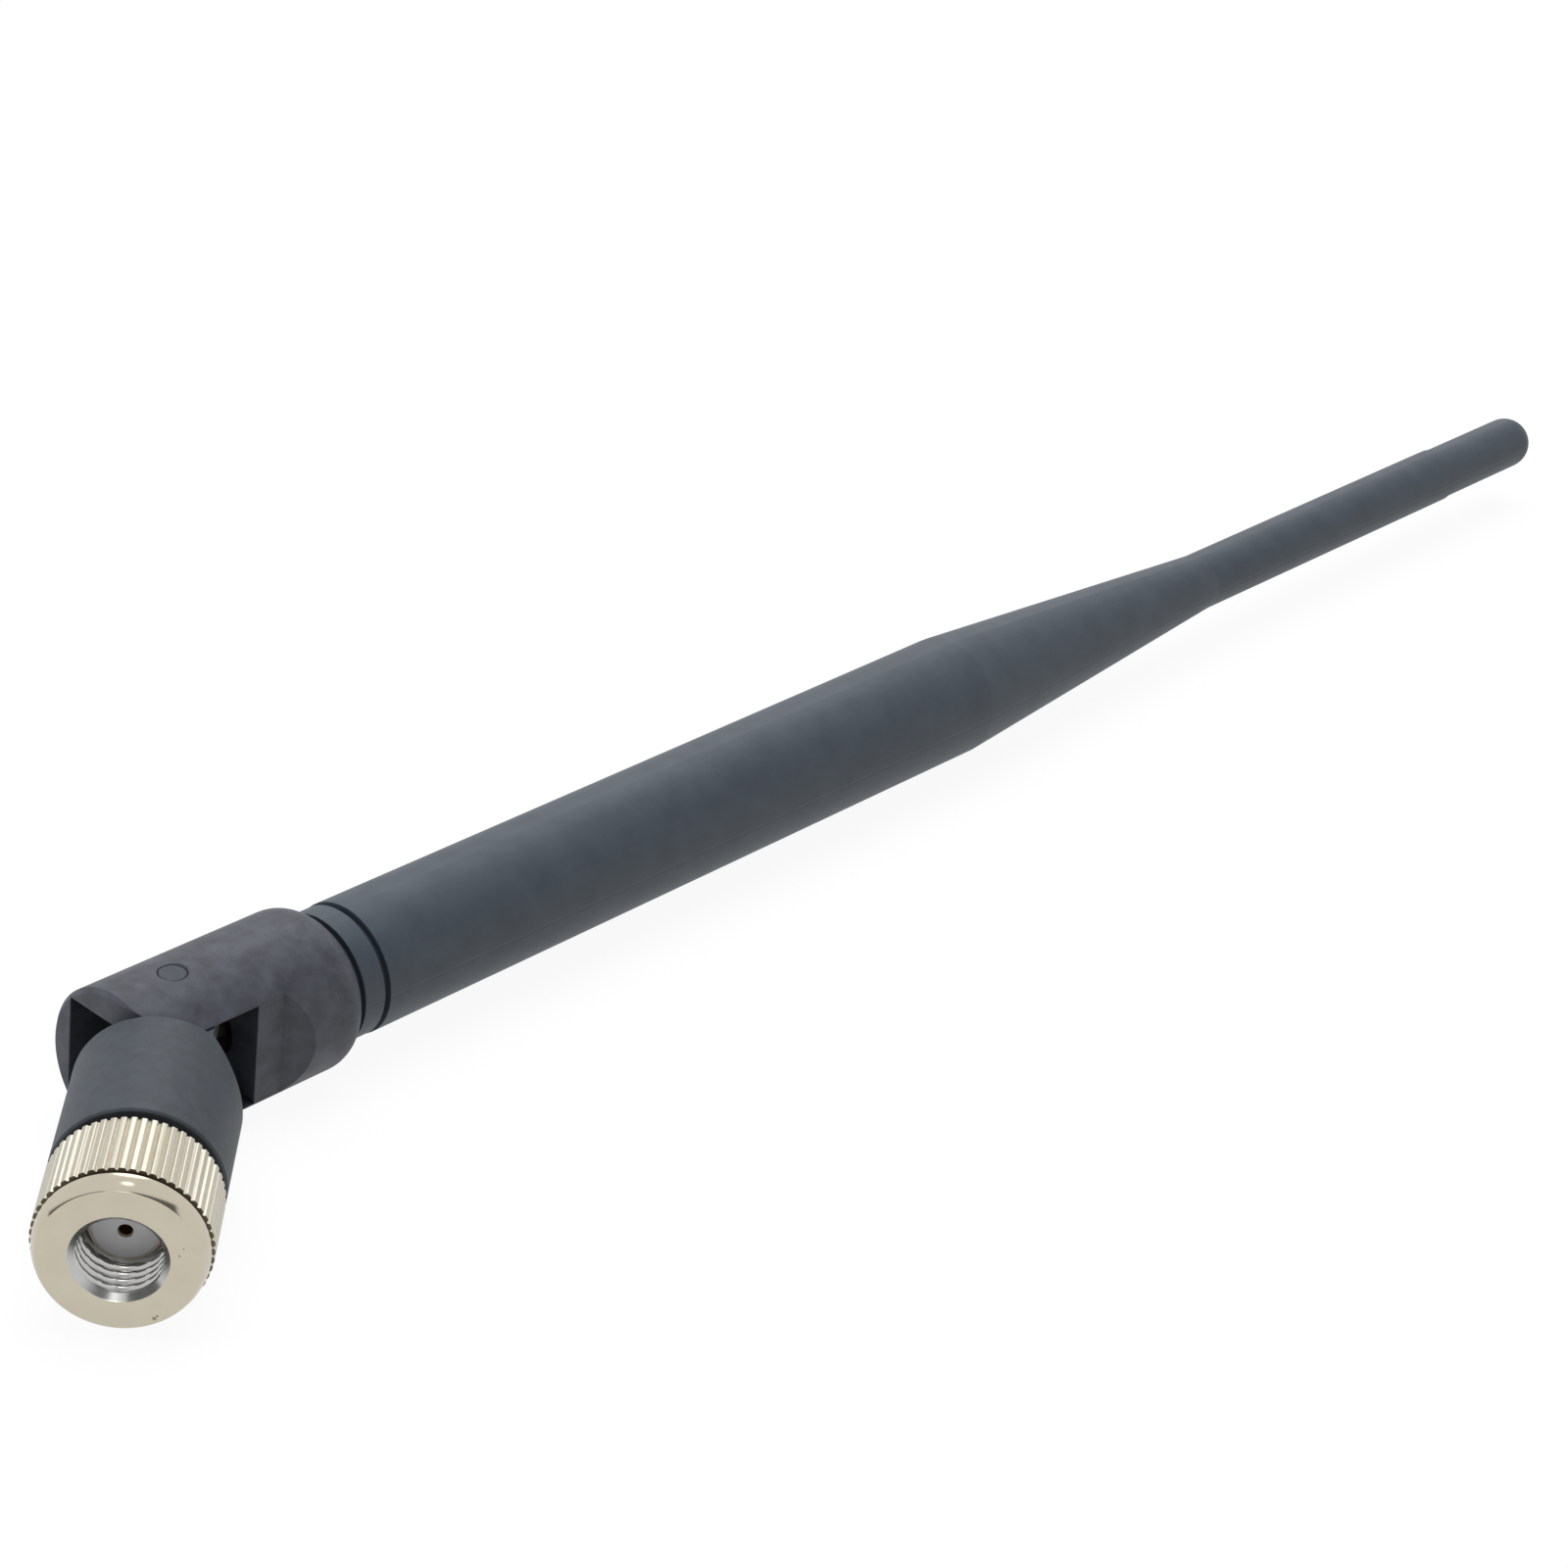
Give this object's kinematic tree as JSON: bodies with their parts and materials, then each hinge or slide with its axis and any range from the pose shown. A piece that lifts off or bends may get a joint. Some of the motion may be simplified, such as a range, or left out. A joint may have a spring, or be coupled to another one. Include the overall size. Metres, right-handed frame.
{
  "type": "bending rod antenna",
  "caption": "Mobile-band rod antenna with a knurled coaxial screw plug, a knuckle joint that bends and clicks, and a stepped, tapered plastic whip.",
  "frame": {"origin": "centre of the plug's reference plane, the front face of its dielectric, on the plug's axis", "axes": "+X along the whip towards its tip, +Z along the hinge pin, +Y towards the closed back of the fork"},
  "size_m": [0.1931, 0.0263, 0.012],
  "materials": {
    "nickel_plate": "bright nickel plate on brass, satin from knurling",
    "nickel_plate_body": "nickel plate on turned brass",
    "spring_bronze": "bare spring bronze",
    "fluoropolymer": "white waxy fluoropolymer",
    "gold_plate": "gold plate, polished",
    "copper": "annealed copper",
    "moulded_plastic": "dark bluish grey moulded plastic, fine satin texture",
    "cable_jacket": "brown fluoropolymer cable jacket",
    "soft_rubber": "black rubber",
    "brass": "drawn brass",
    "bush_plastic": "natural polyethylene"
  },
  "bodies": {
    "connector": {"knuckle": "moulded_plastic", "connector_body": "nickel_plate_body", "connector_dielectric": "fluoropolymer", "centre_contact": "gold_plate", "crimp_ferrule": "copper", "nut_retaining_ring": "spring_bronze"},
    "nut": {"coupling_nut": "nickel_plate"},
    "whip": {"fork_barrel": "moulded_plastic", "whip_sleeve": "moulded_plastic", "coax_cable": "cable_jacket", "cable_grommet": "soft_rubber", "radiator_tube": "brass", "lower_bush": "bush_plastic", "feed_collar": "brass", "cable_spacer": "bush_plastic", "tube_spacer": "bush_plastic", "rod_socket": "brass", "radiator_rod": "brass", "feed_shrink_tube": "soft_rubber", "taper_bead": "bush_plastic", "tip_plug": "soft_rubber"}
  },
  "joints": [
    {"name": "nut_spin", "type": "hinge", "parent": "connector", "child": "nut", "pos_m": [0.00042, 0.00038, 0], "axis": [-0.7431, -0.6691, 0], "continuous": true},
    {"name": "tilt", "type": "hinge", "parent": "connector", "child": "whip", "pos_m": [0.01588, 0.0143, 0], "axis": [0, 0, 1], "range_deg": [-48, 42], "deforming": ["coax_cable"]}
  ]
}
